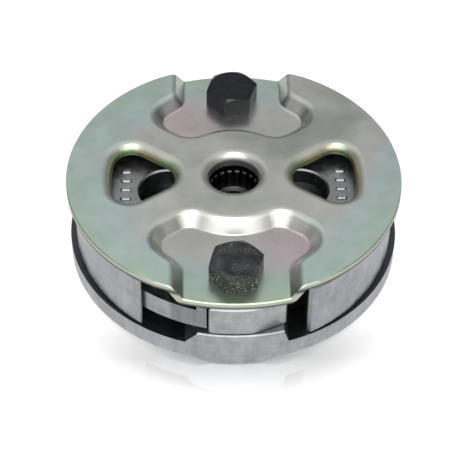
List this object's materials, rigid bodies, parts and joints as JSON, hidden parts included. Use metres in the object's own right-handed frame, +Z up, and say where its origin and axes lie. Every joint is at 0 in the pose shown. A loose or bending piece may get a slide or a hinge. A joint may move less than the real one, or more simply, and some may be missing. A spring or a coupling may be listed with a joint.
{
  "type": "centrifugal clutch",
  "caption": "Round centrifugal clutch with sliding shoes, a carrier with threaded hub, tension springs and a pressed, bolted cover plate.",
  "frame": {"origin": "on the clutch axis, at the level of the feet that the part stands on", "axes": "+Z up along the clutch axis, away from the engine; the cover bolts lie on the Y axis and the shoes slide outward along X"},
  "size_m": [0.085, 0.0848, 0.0268],
  "materials": {
    "cast_carrier": "satin turned steel",
    "hub_steel": "dark turned steel",
    "machined_steel": "satin ground steel",
    "zinc_plated_cover": "satin zinc plating with a faint tint",
    "black_bolt": "black oxide",
    "pin_steel": "satin",
    "spring_steel": "oiled wire"
  },
  "bodies": {
    "carrier_body": {"carrier": "cast_carrier", "hub": "hub_steel", "cover_plate": "zinc_plated_cover", "driver_block_front": "machined_steel", "driver_block_rear": "machined_steel", "cover_bolt_front": "black_bolt", "cover_bolt_rear": "black_bolt", "spring_front": "spring_steel", "spring_rear": "spring_steel", "dowel_pin_front_inner": "pin_steel", "dowel_pin_front_outer": "pin_steel", "dowel_pin_rear_inner": "pin_steel", "dowel_pin_rear_outer": "pin_steel"},
    "shoe_right": {"shoe_right": "machined_steel", "spring_pin_right_a": "pin_steel", "spring_pin_right_b": "pin_steel"},
    "shoe_left": {"shoe_left": "machined_steel", "spring_pin_left_a": "pin_steel", "spring_pin_left_b": "pin_steel"}
  },
  "joints": [
    {"name": "shoe_right_slide", "type": "slide", "parent": "carrier_body", "child": "shoe_right", "axis": [1, 0, 0], "range_m": [0, 0.0025], "stiffness_N_per_m": 8000, "springref_m": -0.002, "deforming": ["spring_front", "spring_rear"]},
    {"name": "shoe_left_slide", "type": "slide", "parent": "carrier_body", "child": "shoe_left", "axis": [-1, 0, 0], "range_m": [0, 0.0025], "stiffness_N_per_m": 8000, "springref_m": -0.002, "deforming": ["spring_front", "spring_rear"]}
  ]
}
